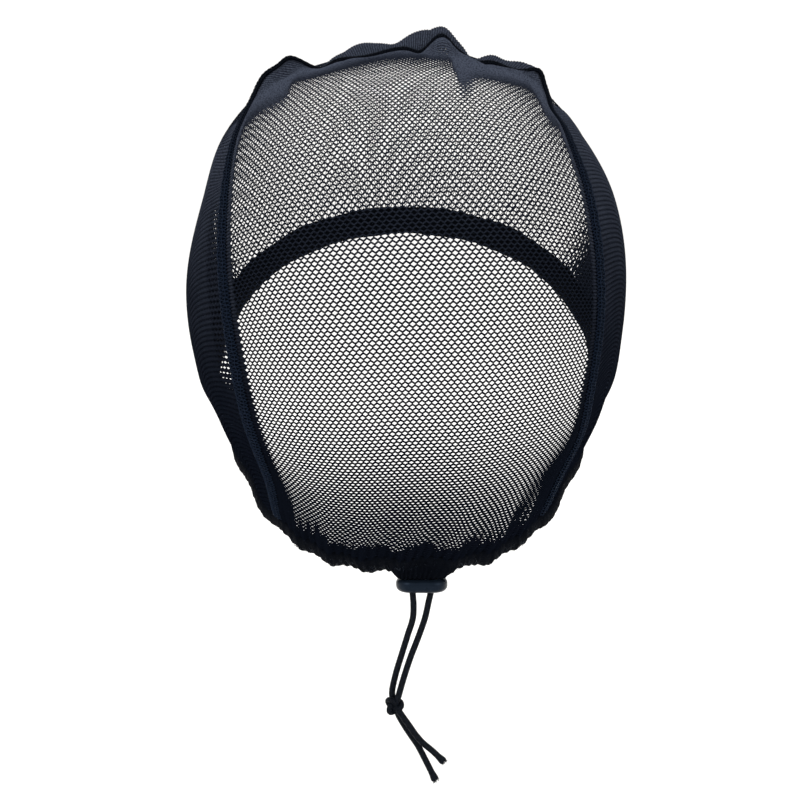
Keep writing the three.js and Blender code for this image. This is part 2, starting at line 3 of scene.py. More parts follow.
import bmesh
import bpy
import numpy as np
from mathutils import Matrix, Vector


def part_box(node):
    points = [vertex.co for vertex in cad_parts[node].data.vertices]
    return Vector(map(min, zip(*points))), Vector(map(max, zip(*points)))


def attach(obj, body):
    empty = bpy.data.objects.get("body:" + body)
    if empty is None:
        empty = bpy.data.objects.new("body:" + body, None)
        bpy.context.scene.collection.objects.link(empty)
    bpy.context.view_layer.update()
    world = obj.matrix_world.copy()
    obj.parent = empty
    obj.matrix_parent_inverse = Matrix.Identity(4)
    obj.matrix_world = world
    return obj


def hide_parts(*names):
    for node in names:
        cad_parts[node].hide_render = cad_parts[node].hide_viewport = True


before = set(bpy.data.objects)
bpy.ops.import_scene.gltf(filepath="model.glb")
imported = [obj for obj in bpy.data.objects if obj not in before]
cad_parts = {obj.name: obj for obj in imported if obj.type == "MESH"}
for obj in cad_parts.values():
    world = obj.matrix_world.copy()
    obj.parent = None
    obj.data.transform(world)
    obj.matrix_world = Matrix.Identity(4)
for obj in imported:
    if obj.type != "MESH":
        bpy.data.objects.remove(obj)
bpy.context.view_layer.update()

# CAMERA
# A long portrait lens straight behind the wearer's head, 8 degrees above its widest level and
# 0.9 m from its middle, aimed a little lower so that the knotted cords are in view.
camera = bpy.data.objects.new("camera", bpy.data.cameras.new("camera"))
bpy.context.scene.collection.objects.link(camera)
camera.data.sensor_width = 36
camera.data.lens = 114.7
camera.location = (0, 0.8912, 0.0413)
camera_aim = Vector((0.0019, 0, -0.1231))
camera.rotation_euler = (camera_aim - camera.location).to_track_quat("-Z", "Y").to_euler()
bpy.context.scene.camera = camera


# DRAWCORDS
# Two round elastic cords, 2.2 mm thick: rubber strands in a braided polyester cover. They leave the
# casing by two eyelets, pass through the stopper, and are knotted together above two cut tails.
mm = 0.001
cord_diameter = 2.2 * mm
stopper_low, stopper_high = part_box("cord_stopper")
seat_back = (stopper_low.y + stopper_high.y) / 2


def linear(hex_colour):
    """An sRGB hex colour as the linear colour that shaders take."""
    channels = [int(hex_colour[i : i + 2], 16) / 255 for i in (1, 3, 5)]
    return [c / 12.92 if c <= 0.04045 else ((c + 0.055) / 1.055) ** 2.4 for c in channels] + [1]


def add_node(material, kind, sockets=(), **settings):
    """Adds a shader node with its settings; sockets are values, or outputs of other nodes to link."""
    tree = material.node_tree
    node = tree.nodes.new(kind)
    for name, value in settings.items():
        setattr(node, name, value)
    for name, value in dict(sockets).items():
        if isinstance(value, bpy.types.NodeSocket):
            tree.links.new(value, node.inputs[name])
        else:
            node.inputs[name].default_value = value
    return node


def start_material(name):
    """An empty node material."""
    material = bpy.data.materials.new(name)
    material.use_nodes = True
    material.node_tree.nodes.clear()
    return material


def end_material(material, surface):
    """Links the surface shader to the material's output."""
    add_node(material, "ShaderNodeOutputMaterial", {"Surface": surface.outputs[0]})
    return material


def through(points, per_span):
    """Points on one smooth centripetal line through the given ones, evenly spaced."""
    points = np.asarray(points, float)
    points = np.vstack([2 * points[:1] - points[1:2], points, 2 * points[-1:] - points[-2:-1]])
    steps = np.maximum(np.sqrt(np.linalg.norm(np.diff(points, axis=0), axis=1)), 1e-9)
    share = np.linspace(0, 1, 24, endpoint=False)[:, None]
    line = []
    for k in range(1, len(points) - 2):
        a, b, c, d = points[k - 1 : k + 3]
        before, here, after = steps[k - 1 : k + 2]
        leave = ((b - a) / before - (c - a) / (before + here) + (c - b) / here) * here
        arrive = ((c - b) / here - (d - b) / (here + after) + (d - c) / after) * here
        line.append(
            (2 * share**3 - 3 * share**2 + 1) * b
            + (share**3 - 2 * share**2 + share) * leave
            + (3 * share**2 - 2 * share**3) * c
            + (share**3 - share**2) * arrive
        )
    line = np.vstack(line + [points[-2:-1]])
    run = np.concatenate([[0], np.cumsum(np.linalg.norm(np.diff(line, axis=0), axis=1))])
    count = per_span * (len(points) - 3)
    places = np.linspace(0, run[-1], count + 1)
    return np.stack([np.interp(places, run, line[:, axis]) for axis in range(line.shape[1])], -1)


def thread_mesh(name, lines, diameter, sides, widths=None, closed=False):
    """One mesh of round threads along the given lines of points."""
    curve = bpy.data.curves.new(name, "CURVE")
    curve.dimensions = "3D"
    curve.bevel_depth = diameter / 2
    curve.bevel_resolution = max(0, sides // 2 - 2)
    curve.use_fill_caps = not closed
    for line in lines:
        spline = curve.splines.new("POLY")
        spline.points.add(len(line) - 1)
        spline.points.foreach_set("co", np.column_stack([line, np.ones(len(line))]).ravel())
        if widths is not None:
            spline.points.foreach_set("radius", widths)
        spline.use_cyclic_u = closed
        spline.use_smooth = True
    maker = bpy.data.objects.new(name, curve)
    bpy.context.scene.collection.objects.link(maker)
    shown = maker.evaluated_get(bpy.context.evaluated_depsgraph_get())
    mesh = bpy.data.meshes.new_from_object(shown)
    bpy.data.objects.remove(maker)
    mesh.name = name
    return mesh


def place_piece(name, mesh, material, slot, *nodes):
    """Puts a finished mesh in the scene in the place of its CAD nodes."""
    mesh.materials.clear()
    mesh.materials.append(material)
    piece = bpy.data.objects.new(name, mesh)
    bpy.context.scene.collection.objects.link(piece)
    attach(piece, "root")
    if nodes:
        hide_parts(*nodes)
    return piece


def route_points(rows):
    """Places from rows of millimetres to the right of the middle, backwards and below the stopper."""
    places = []
    for right, back, drop in rows:
        places.append((-right * mm, seat_back + back * mm, stopper_low.z - drop * mm))
    return places


# The braided cover: eight flat bundles cross at a slant, each 1.4 mm long on the cord, which gives
# the matte black cord its fine chevron grain; the cut ends swell and fray.
braid_pitch = 2.8 * mm
bundles_round = 4
braided_polyester = start_material("braided_polyester")
braid_uv = add_node(braided_polyester, "ShaderNodeUVMap")
braid_parts = add_node(braided_polyester, "ShaderNodeSeparateXYZ", {0: braid_uv.outputs[0]})
cord_run = 82 * mm
braid_along = add_node(
    braided_polyester, "ShaderNodeMath",
    {0: braid_parts.outputs[0], 1: 2 * math.pi * cord_run / braid_pitch}, operation="MULTIPLY",
)
braid_round = add_node(
    braided_polyester, "ShaderNodeMath",
    {0: braid_parts.outputs[1], 1: 2 * math.pi * bundles_round}, operation="MULTIPLY",
)
braid_up = add_node(
    braided_polyester, "ShaderNodeMath", {0: braid_along.outputs[0], 1: braid_round.outputs[0]},
    operation="ADD",
)
braid_down = add_node(
    braided_polyester, "ShaderNodeMath", {0: braid_along.outputs[0], 1: braid_round.outputs[0]},
    operation="SUBTRACT",
)
braid_left = add_node(braided_polyester, "ShaderNodeMath", {0: braid_up.outputs[0]}, operation="SINE")
braid_right = add_node(braided_polyester, "ShaderNodeMath", {0: braid_down.outputs[0]}, operation="SINE")
braid_height = add_node(
    braided_polyester, "ShaderNodeMath", {0: braid_left.outputs[0], 1: braid_right.outputs[0]},
    operation="MAXIMUM",
)
braid_bump = add_node(
    braided_polyester, "ShaderNodeBump",
    {"Height": braid_height.outputs[0], "Distance": 0.12 * mm, "Strength": 0.8},
)
# Painted shade: the cover is darker in the gaps between the bundles and lighter on their crests.
braid_gap_shade = add_node(
    braided_polyester, "ShaderNodeMapRange", {0: braid_height.outputs[0], 1: -1.0, 2: 1.0}
)
braid_shaded_tint = add_node(
    braided_polyester, "ShaderNodeMix",
    {0: braid_gap_shade.outputs[0], 6: linear("#030508"), 7: linear("#0a0e15")}, data_type="RGBA",
)
end_material(
    braided_polyester,
    add_node(
        braided_polyester, "ShaderNodeBsdfPrincipled",
        {
            "Base Color": braid_shaded_tint.outputs[2], "Roughness": 0.5, "Specular IOR Level": 0.05,
            "Sheen Weight": 0.002, "Sheen Tint": linear("#5a6472"), "Normal": braid_bump.outputs[0],
        },
    ),
)

left_route = [(2.45, 0, -9.7), (2.45, 0, -4.6), (2.45, 0, 0)]
left_route += [(2.8, 0.1, 4.6), (2.6, 0.3, 9.6), (0.9, 0.4, 15.4), (-1.3, 0.2, 22.8), (-3.4, -0.2, 30.2)]
left_route += [(-4.5, -0.5, 36.9), (-3.4, 0.6, 40.4)]
left_route += [(-1.3, 1.4, 43.6), (1.2, 1.2, 47.3), (3.6, 1.1, 50.9), (5.9, 1.2, 53.6), (9.4, 1.4, 56.6)]
left_route += [(13.2, 1.6, 60.3)]
right_route = [(8.75, 0, -9.7), (8.75, 0, -4.6), (8.75, 0, 0)]
right_route += [(7.9, 0.1, 4.2), (6.7, 0.3, 9.7), (4.2, 0.6, 17), (1.9, 1, 23), (-0.6, 1.4, 30.8)]
right_route += [(-2.3, 1.6, 36.9), (-3.2, 0.6, 40.4)]
right_route += [(-2.4, -0.9, 44.2), (0, -1.2, 48.7), (2.2, -1.4, 52.2), (4.3, -1.3, 55.4), (7, -0.9, 60.6)]
right_route += [(10.4, -0.6, 67.6)]
swollen_end = [1.02, 1.06, 1.12, 1.2, 1.26, 1.2]
tuft_count, tuft_width = 18, 0.22 * mm
cords = []
for name, route in (("left", left_route), ("right", right_route)):
    line = through(route_points(route), 9)
    widths = np.ones(len(line))
    widths[-len(swollen_end):] = swollen_end
    cord = place_piece(
        "cord_" + name, thread_mesh("cord_" + name, [line], cord_diameter, 14, widths),
        braided_polyester, "elastic_cord", "drawcord_" + name, "tail_" + name,
    )
    cords.append((cord, line))
    fray = []
    heading = Vector(line[-1] - line[-4]).normalized()
    side = heading.orthogonal().normalized()
    for tuft in range(tuft_count):
        turn = 2.4 * tuft
        out = math.cos(turn) * side + math.sin(turn) * heading.cross(side)
        reach = (0.35 + 0.55 * ((tuft * 7) % 10) / 10) * mm
        start = Vector(line[-1]) + out * (0.25 + 0.9 * ((tuft * 3) % 7) / 7) * mm
        start = start - heading * 0.5 * mm
        bend = start + heading * (0.5 * mm + reach / 2) + out * 0.12 * mm
        fray.append([start, bend, bend + heading * reach / 2 + out * 0.3 * mm])
    place_piece(
        "cord_fray_" + name, thread_mesh("cord_fray_" + name, fray, tuft_width, 4), braided_polyester,
        "elastic_cord",
    )

# KNOT
# An overhand knot drawn tight in both cords, made of the cords' own braid: three lobes that cross
# over and under each other, with a short turn of cord round the standing ends.
knot_middle = np.array(route_points([(-3.9, 0.5, 40.6)])[0])
knot_turn = np.linspace(0, 2 * math.pi, 73)[:-1]
knot_line = np.stack(
    [
        np.sin(knot_turn) + 2 * np.sin(2 * knot_turn),
        -1.25 * np.sin(3 * knot_turn),
        np.cos(knot_turn) - 2 * np.cos(2 * knot_turn),
    ],
    -1,
)
knot_lean, knot_scale, knot_cord = math.radians(20), 0.88 * mm, 1.95 * mm
knot_across = knot_line[:, 0] * math.cos(knot_lean) - knot_line[:, 2] * math.sin(knot_lean)
knot_up = knot_line[:, 0] * math.sin(knot_lean) + knot_line[:, 2] * math.cos(knot_lean)
knot_line = np.stack([knot_across, knot_line[:, 1], knot_up], -1) * knot_scale + knot_middle
knot = place_piece(
    "knot", thread_mesh("knot", [knot_line], knot_cord, 12, closed=True), braided_polyester,
    "elastic_cord", "cord_knot",
)

# STOPPER
# A flat oval cord stopper of moulded rubber, 17.5 by 10.5 by 4.6 mm, with two holes that grip the
# cords by friction; it lies edge-on to the viewer, close under the casing.
stopper_size = stopper_high - stopper_low
stopper_middle = (stopper_high + stopper_low) / 2
rim_round, hole_half = 1.9 * mm, 1.4 * mm
stopper_shape = bmesh.new()
bmesh.ops.create_cube(stopper_shape, size=1)
bmesh.ops.scale(stopper_shape, vec=stopper_size, verts=stopper_shape.verts)
uprights, rims = [], []
for edge in stopper_shape.edges:
    if abs(edge.verts[0].co.z - edge.verts[1].co.z) > stopper_size.z / 2:
        uprights.append(edge)
bmesh.ops.bevel(
    stopper_shape, geom=uprights, offset=stopper_size.y * 0.495, offset_type="OFFSET", segments=12,
    profile=0.5, affect="EDGES", material=-1,
)
for edge in stopper_shape.edges:
    if abs(edge.verts[0].co.z - edge.verts[1].co.z) < 1e-6:
        rims.append(edge)
bmesh.ops.bevel(
    stopper_shape, geom=rims, offset=rim_round, offset_type="OFFSET", segments=7, profile=0.5,
    affect="EDGES", material=-1,
)
bmesh.ops.translate(stopper_shape, vec=stopper_middle, verts=stopper_shape.verts)
bmesh.ops.recalc_face_normals(stopper_shape, faces=stopper_shape.faces[:])
stopper_blank = bpy.data.meshes.new("stopper_blank")
stopper_shape.to_mesh(stopper_blank)
stopper_shape.free()
stopper_maker = bpy.data.objects.new("stopper_blank", stopper_blank)
bpy.context.scene.collection.objects.link(stopper_maker)
hole_shape = bmesh.new()
for cord, line in cords:
    hole = bmesh.ops.create_cone(
        hole_shape, cap_ends=True, segments=32, radius1=hole_half, radius2=hole_half, depth=20 * mm
    )
    bmesh.ops.translate(hole_shape, vec=(line[0][0], seat_back, stopper_middle.z), verts=hole["verts"])
bmesh.ops.recalc_face_normals(hole_shape, faces=hole_shape.faces[:])
hole_mesh = bpy.data.meshes.new("stopper_holes")
hole_shape.to_mesh(hole_mesh)
hole_shape.free()
hole_maker = bpy.data.objects.new("stopper_holes", hole_mesh)
bpy.context.scene.collection.objects.link(hole_maker)
drill = stopper_maker.modifiers.new("holes", "BOOLEAN")
drill.object = hole_maker
drill.solver = "MANIFOLD"
stopper_mesh = bpy.data.meshes.new_from_object(
    stopper_maker.evaluated_get(bpy.context.evaluated_depsgraph_get())
)
bpy.data.objects.remove(stopper_maker)
bpy.data.objects.remove(hole_maker)
stopper_mesh.name = "stopper"
stopper_mesh.polygons.foreach_set("use_smooth", [True] * len(stopper_mesh.polygons))
stopper_mesh.set_sharp_from_angle(angle=math.radians(40))

# Satin moulded rubber: dark slate with a soft broad highlight, a faint orange-peel from the mould
# and slightly duller patches where the cords have rubbed it.
moulded_rubber = start_material("moulded_rubber")
rubber_place = add_node(moulded_rubber, "ShaderNodeTexCoord")
rubber_peel = add_node(
    moulded_rubber, "ShaderNodeTexNoise",
    {"Vector": rubber_place.outputs["Object"], "Scale": 1 / (0.5 * mm), "Detail": 3.0},
)
rubber_patch = add_node(
    moulded_rubber, "ShaderNodeTexNoise",
    {"Vector": rubber_place.outputs["Object"], "Scale": 1 / (4 * mm), "Detail": 2.0},
)
rubber_bump = add_node(
    moulded_rubber, "ShaderNodeBump",
    {"Height": rubber_peel.outputs[0], "Distance": 0.04 * mm, "Strength": 0.6},
)
rubber_rough = add_node(
    moulded_rubber, "ShaderNodeMapRange", {0: rubber_patch.outputs[0], 1: 0.3, 2: 0.7, 3: 0.24, 4: 0.34}
)
rubber_tint = add_node(
    moulded_rubber, "ShaderNodeMix",
    {0: rubber_patch.outputs[0], 6: linear("#060a10"), 7: linear("#0d141c")}, data_type="RGBA",
)
end_material(
    moulded_rubber,
    add_node(
        moulded_rubber, "ShaderNodeBsdfPrincipled",
        {
            "Base Color": rubber_tint.outputs[2], "Roughness": rubber_rough.outputs[0], "IOR": 1.52,
            "Specular IOR Level": 0.26, "Specular Tint": linear("#8296b4"),
            "Normal": rubber_bump.outputs[0],
        },
    ),
)
stopper = place_piece("stopper", stopper_mesh, moulded_rubber, "stopper_rubber", "cord_stopper")

# BACK NET
# The back and crown panel of warp-knitted stretch nylon: staggered six-sided holes, 2.5 by 3 mm
# where the head stretches it most, which close up towards the gathered hem and the crown seam.
head_width, back_depth, front_depth = 151.6 * mm, 93 * mm, 95 * mm
crown_rise, lower_rise, form_power = 84 * mm, 104 * mm, 2.3
form_middle = np.array((0, 0, -crown_rise))
# angle down from the crown, then factors to the right, left, back and front
form_rows = [
    (0, 1, 1, 1, 1),
    (10, 1, 0.995, 1, 1),
    (22, 0.985, 0.975, 1.01, 1.01),
    (34, 1, 1.01, 1.02, 1.01),
    (48, 0.985, 1.005, 1.02, 1),
    (65, 1, 0.97, 1.01, 1),
    (90, 1, 0.995, 1, 1),
    (110, 0.97, 0.96, 0.97, 0.97),
    (130, 0.91, 0.885, 0.925, 0.9),
    (150, 0.935, 0.91, 0.94, 0.86),
    (180, 0.86, 0.86, 0.86, 0.86),
]
# angle round from the back, angle above the widest level
hem_rows = [(0, -57), (25, -57.5), (50, -53), (75, -41), (95, -28), (120, -12), (150, 5), (180, 11)]
left_corner, right_corner = -50, 53
# angles across and up from the back centre, from the left corner over the crown to the right
seam_rows = [
    (-33.5, -44), (-36, -22), (-40, 2), (-43.5, 22), (-45.5, 38), (-46, 52), (-45, 66), (-34, 76),
    (-16, 78), (4, 80), (22, 79), (37, 76), (45, 68), (44, 54), (43, 42), (45, 24), (46.8, 0),
    (45, -20), (45, -36),
]
left_shoulder, right_shoulder = 0.385, 0.61
# place along the seam, width, height as a share of ruffle_height
ruffle_height = 5 * mm
ruffle_rows = [
    (0.37, 0.02, 0.7), (0.393, 0.012, 0.85), (0.417, 0.012, -0.4), (0.42, 0.06, 0.2),
    (0.46, 0.025, -0.45), (0.5, 0.05, 0.15), (0.51, 0.009, -0.4), (0.528, 0.012, 0.95),
    (0.563, 0.012, -0.4), (0.6, 0.05, 0.25), (0.597, 0.015, -0.15), (0.622, 0.011, 0.65),
    (0.662, 0.02, -0.45),
]
# place across the panel, width, depth as a share of pleat_depth
pleat_depth = 1.6 * mm
pleat_rows = [(0.12, 0.04, 1), (0.3, 0.04, 0.5), (0.62, 0.05, 1), (0.74, 0.035, 0.6), (0.93, 0.04, 1)]
# place across the panel, width, depth as a share of hem_fold_depth
hem_fold_depth = 1.5 * mm
nape_fold_rows = [
    (0.08, 0.03, 0.7), (0.2, 0.035, 1), (0.33, 0.035, 0.9), (0.48, 0.04, 1), (0.65, 0.035, 0.9),
    (0.8, 0.035, 1), (0.92, 0.03, 0.6),
]


def read_rows(rows, column, place):
    """A table's column at any places, on a smooth line through its rows."""
    rows = np.asarray(rows, float)
    keys, values = rows[:, 0], rows[:, column]
    slopes = np.zeros(len(keys))
    slopes[1:-1] = (values[2:] - values[:-2]) / (keys[2:] - keys[:-2])
    place = np.clip(place, keys[0], keys[-1])
    row = np.clip(np.searchsorted(keys, place, side="right") - 1, 0, len(keys) - 2)
    span = keys[row + 1] - keys[row]
    share = (place - keys[row]) / span
    return (
        (2 * share**3 - 3 * share**2 + 1) * values[row]
        + (share**3 - 2 * share**2 + share) * span * slopes[row]
        + (3 * share**2 - 2 * share**3) * values[row + 1]
        + (share**3 - share**2) * span * slopes[row + 1]
    )


def bumps(rows, place):
    """The sum of a table's round bumps at any places."""
    return sum(height * np.exp(-(((place - middle) / width) ** 2)) for middle, width, height in rows)


def fade(distance, reach):
    """1 at no distance, 0 at the reach, and smooth between."""
    share = np.clip(distance / reach, 0, 1)
    return 1 - share * share * (3 - 2 * share)


def head_radius(way):
    """How far the head reaches from the form's middle, in unit directions."""
    depth = np.where(way[:, 1] > 0, back_depth, front_depth)
    height = np.where(way[:, 2] > 0, crown_rise, lower_rise)
    total = (
        np.abs(way[:, 0] / (head_width / 2)) ** form_power
        + np.abs(way[:, 1] / depth) ** form_power
        + np.abs(way[:, 2] / height) ** form_power
    )
    down = np.degrees(np.arccos(np.clip(way[:, 2], -1, 1)))
    flat = np.maximum(np.hypot(way[:, 0], way[:, 1]), 1e-6)
    side = (way[:, 0] / flat) ** 2
    right, left, back, front = [read_rows(form_rows, column, down) for column in (1, 2, 3, 4)]
    side_factor = np.where(way[:, 0] < 0, right, left)
    length_factor = np.where(way[:, 1] > 0, back, front)
    return total ** (-1 / form_power) * (side * side_factor + (1 - side) * length_factor)


def back_way(across, up):
    """Unit directions from angles across and up from the back centre."""
    angle = np.maximum(np.hypot(across, up), 1e-9)
    scale = np.sin(np.radians(angle)) / angle
    return np.stack([-across * scale, np.cos(np.radians(angle)), up * scale], -1)


def back_angles(way):
    """Angles across and up of unit directions."""
    turn = np.arccos(np.clip(way[:, 1], -1, 1))
    scale = np.degrees(turn) / np.maximum(np.sin(turn), 1e-9)
    return np.stack([-way[:, 0] * scale, way[:, 2] * scale], -1)


def hem_way(around):
    """Unit directions of the panels' lower edge."""
    rise = np.radians(read_rows(hem_rows, 1, np.abs(around)))
    turn = np.radians(around)
    return np.stack([-np.sin(turn) * np.cos(rise), np.cos(turn) * np.cos(rise), np.sin(rise)], -1)


seam_ends = back_angles(hem_way(np.array([left_corner, right_corner], float)))
seam_line = through([seam_ends[0], *seam_rows, seam_ends[1]], 40)
seam_share = np.linspace(0, 1, len(seam_line))


def seam_angles(along):
    """Angles across and up of the seam, at shares of its length."""
    along = np.clip(along, 0, 1)
    return np.stack([np.interp(along, seam_share, seam_line[:, k]) for k in (0, 1)], -1)


def seam_lift(along):
    """How far the gathered crown seam stands off the head."""
    return ruffle_height * bumps(ruffle_rows, along)


gather_pitch = 24 * mm
hem_run = math.pi * (head_width + back_depth + front_depth) / 2
gather_count = round(hem_run / gather_pitch)


def hem_lift(around):
    """How far the gathers above the casing stand off the head."""
    across = (around - left_corner) / (right_corner - left_corner)
    nape = bumps(nape_fold_rows, across)
    front = 0.5 * (1 - np.cos(np.radians(around + 180) * gather_count))
    return hem_fold_depth * np.where((across >= 0) & (across <= 1), nape, front)


def on_form(way, lift):
    """Points of the cloth at a lift off the head."""
    return way * (head_radius(way) + lift)[:, None] + form_middle


cloth_wall = 1.2 * mm
seam_gather, pleat_reach, pleat_start = 13 * mm, 26 * mm, 6.5 * mm
hem_gather, crease_reach, crease_depth = 34 * mm, 20 * mm, 0.45 * mm
back_width = head_width * 1.25
back_length = math.radians(np.linalg.norm(seam_angles(left_shoulder) - seam_angles(0))) * back_depth


def back_place(across, up, lift):
    """Points of the back panel: across from the left seam, up from the hem to the crown seam."""
    around = left_corner + (right_corner - left_corner) * across
    crown_along = left_shoulder + (right_shoulder - left_shoulder) * across
    hem = back_angles(hem_way(around))
    left, right = seam_angles(left_shoulder * up), seam_angles(1 - (1 - right_shoulder) * up)
    a, u = across[:, None], up[:, None]
    corners = (
        seam_angles(0) * (1 - a) * (1 - u)
        + seam_angles(1) * a * (1 - u)
        + seam_angles(left_shoulder) * (1 - a) * u
        + seam_angles(right_shoulder) * a * u
    )
    angles = hem * (1 - u) + seam_angles(crown_along) * u + left * (1 - a) + right * a - corners
    way = back_way(angles[:, 0], angles[:, 1])
    from_side = np.minimum(across, 1 - across) * back_width
    from_crown, from_hem = (1 - up) * back_length, up * back_length
    near_side, near_crown = fade(from_side, seam_gather), fade(from_crown, seam_gather)
    on_left = across < 0.5
    side_along = np.where(on_left, left_shoulder * up, 1 - (1 - right_shoulder) * up)
    shoulder = seam_lift(np.where(on_left, left_shoulder, right_shoulder))
    ruffle = seam_lift(crown_along) * near_crown + seam_lift(side_along) * near_side
    ruffle = ruffle - shoulder * near_crown * near_side
    pleats = pleat_depth * bumps(pleat_rows, across) * fade(from_crown, pleat_reach)
    pleats = pleats * (1 - fade(from_crown, pleat_start))
    folds = hem_lift(around) * fade(from_hem, hem_gather)
    creases = crease_depth * np.sin(around * 1.9 + 0.7 * np.sin(around * 0.31))
    creases = creases * fade(from_hem, crease_reach)
    return on_form(way, lift + ruffle + pleats + folds + creases)


def unit(ways):
    """Vectors of length 1 in the given directions."""
    return ways / np.maximum(np.linalg.norm(ways, axis=1), 1e-12)[:, None]


def knit_net(name, columns, rows, cloth, closed, reach=None):
    """A net of flat zigzag yarns, one to a row, that touch their neighbours at every turn. cloth gives
    points by column and row, closed how far the yarns are gathered into ribs there, from 0 to 1, or
    drawn thin, below 0, and reach each row's last column. The float attribute it stores is painted
    light: most on the ribs' crests, painted shade at their edges, and least in the open net."""
    net = bmesh.new()
    rib_light = net.verts.layers.float.new("rib_light")
    bmesh.ops.create_grid(net, x_segments=columns, y_segments=5 * rows - 1, size=0.5)
    flat = np.array([v.co for v in net.verts])
    column = np.rint((flat[:, 0] + 0.5) * columns)
    line = np.rint((flat[:, 1] + 0.5) * (5 * rows - 1)).astype(int)
    row, side = line // 5, line % 5 % 4
    ribbed = closed(column, row)
    lean = 0.3 * (1 - 0.85 * np.maximum(ribbed, 0)) * ((row > 0) & (row < rows - 1))
    lean = row + np.where((column + row) % 2 == 0, lean, -lean)
    middle = cloth(column, lean)
    upward = cloth(column, lean + 0.25) - cloth(column, lean - 0.25)
    spacing = 2 * np.linalg.norm(upward, axis=1)
    upward = unit(upward)
    outward = unit(np.cross(cloth(column + 0.5, lean) - cloth(column - 0.5, lean), upward))
    ribs = yarn_half * (1 - ribbed) + 0.56 * spacing * ribbed
    width = np.where(ribbed < 0, yarn_half * (1 + ribbed), ribs) * np.array([1, 0, -1, 0])[side]
    depth = (0.17 + 0.2 * np.maximum(ribbed, 0)) * mm * np.array([0, 1, 0, -1])[side]
    points = middle + upward * width[:, None] + outward * depth[:, None]
    # Painted light for the shader: lit rib crests, painted shade at the rib edges, and more of it where
    # the yarns are gathered into ribs.
    rib_light_share = (0.3 + 0.7 * np.clip(ribbed, 0, 1)) * np.array([0.5, 1, 0.5, 0.8])[side]
    for vert, point, light_share in zip(net.verts, points, rib_light_share):
        vert.co = point
        vert[rib_light] = light_share
    net.verts.index_update()
    spare = []
    for face in net.faces:
        corners = [v.index for v in face.verts]
        between_rows = max(line[corners]) % 5 == 0
        past_the_hem = reach is not None and max(column[corners]) > reach[row[corners[0]]]
        if between_rows or past_the_hem:
            spare.append(face)
    bmesh.ops.delete(net, geom=spare, context="FACES")
    bmesh.ops.remove_doubles(net, verts=net.verts, dist=1e-7)
    bmesh.ops.holes_fill(net, edges=net.edges, sides=4)
    bmesh.ops.recalc_face_normals(net, faces=net.faces[:])
    for face in net.faces:
        face.smooth = True
    mesh = bpy.data.meshes.new(name)
    net.to_mesh(mesh)
    net.free()
    return mesh


def edge_in(share, margin):
    """Shares from 0 to 1 drawn in a little at both ends, under the seam and the casing."""
    return margin + np.clip(share, 0, 1) * (1 - 2 * margin)


# Knitted nylon yarn: near-black navy where the net is drawn open, and slate from painted light: a
# painted top light towards the crown and painted light on the gathered ribs' crests. The grain is its
# filaments.
knitted_nylon = start_material("knitted_nylon")
nylon_place = add_node(knitted_nylon, "ShaderNodeTexCoord")
nylon_parts = add_node(knitted_nylon, "ShaderNodeSeparateXYZ", {0: nylon_place.outputs["Object"]})
nylon_patch = add_node(
    knitted_nylon, "ShaderNodeTexNoise",
    {"Vector": nylon_place.outputs["Object"], "Scale": 1 / (14 * mm), "Detail": 2.0},
)
nylon_crest_light = add_node(knitted_nylon, "ShaderNodeAttribute", attribute_name="rib_light")
nylon_height = add_node(
    knitted_nylon, "ShaderNodeMath", {0: nylon_patch.outputs[0], 1: 30 * mm, 2: nylon_parts.outputs[2]},
    operation="MULTIPLY_ADD",
)
# Painted top light: the yarn turns lighter towards the crown, at a height that wanders with the noise.
nylon_rise = add_node(
    knitted_nylon, "ShaderNodeMapRange", {0: nylon_height.outputs[0], 1: -125 * mm, 2: -8 * mm}
)
nylon_top_light = add_node(
    knitted_nylon, "ShaderNodeMath", {0: nylon_rise.outputs[0], 1: 2.0}, operation="POWER"
)
nylon_fibre = add_node(
    knitted_nylon, "ShaderNodeTexNoise",
    {"Vector": nylon_place.outputs["Object"], "Scale": 1 / (0.45 * mm), "Detail": 2.0},
)
nylon_fleck = add_node(
    knitted_nylon, "ShaderNodeMapRange", {0: nylon_fibre.outputs[0], 1: 0.36, 2: 0.56, 3: 0.35, 4: 1.0}
)
nylon_flecked = add_node(
    knitted_nylon, "ShaderNodeMath", {0: nylon_crest_light.outputs["Fac"], 1: nylon_fleck.outputs[0]},
    operation="MULTIPLY",
)
# Painted light: the top light times the flecked crest light mixes the navy towards slate.
nylon_painted_light = add_node(
    knitted_nylon, "ShaderNodeMath", {0: nylon_top_light.outputs[0], 1: nylon_flecked.outputs[0]},
    operation="MULTIPLY",
)
nylon_tint = add_node(
    knitted_nylon, "ShaderNodeMix",
    {0: nylon_painted_light.outputs[0], 6: linear("#090c13"), 7: linear("#3d424e")}, data_type="RGBA",
)
nylon_bump = add_node(
    knitted_nylon, "ShaderNodeBump",
    {"Height": nylon_fibre.outputs[0], "Distance": 0.06 * mm, "Strength": 0.5},
)
end_material(
    knitted_nylon,
    add_node(
        knitted_nylon, "ShaderNodeBsdfPrincipled",
        {
            "Base Color": nylon_tint.outputs[2], "Roughness": 0.6, "IOR": 1.53, "Specular IOR Level": 0.0,
            "Sheen Weight": 0.003, "Sheen Roughness": 0.5, "Sheen Tint": linear("#6f7f96"),
            "Normal": nylon_bump.outputs[0],
        },
    ),
)

net_lift = 0.8 * mm
yarn_half = 0.4 * mm
hem_shut = 11 * mm
back_columns, back_rows = 124, 176
# place across the panel, depth under the crown seam to which the gathers close the holes
close_rows = [
    (0, 30), (0.06, 33), (0.12, 33), (0.135, 30), (0.15, 16), (0.2, 17), (0.25, 16), (0.3, 12), (0.36, 7),
    (0.42, 3), (0.5, 2), (0.56, 4), (0.58, 9), (0.62, 10), (0.645, 11), (0.66, 38), (0.69, 38), (0.71, 31),
    (0.78, 27), (0.85, 23), (0.9, 21), (0.915, 24), (0.93, 42), (1, 38),
]


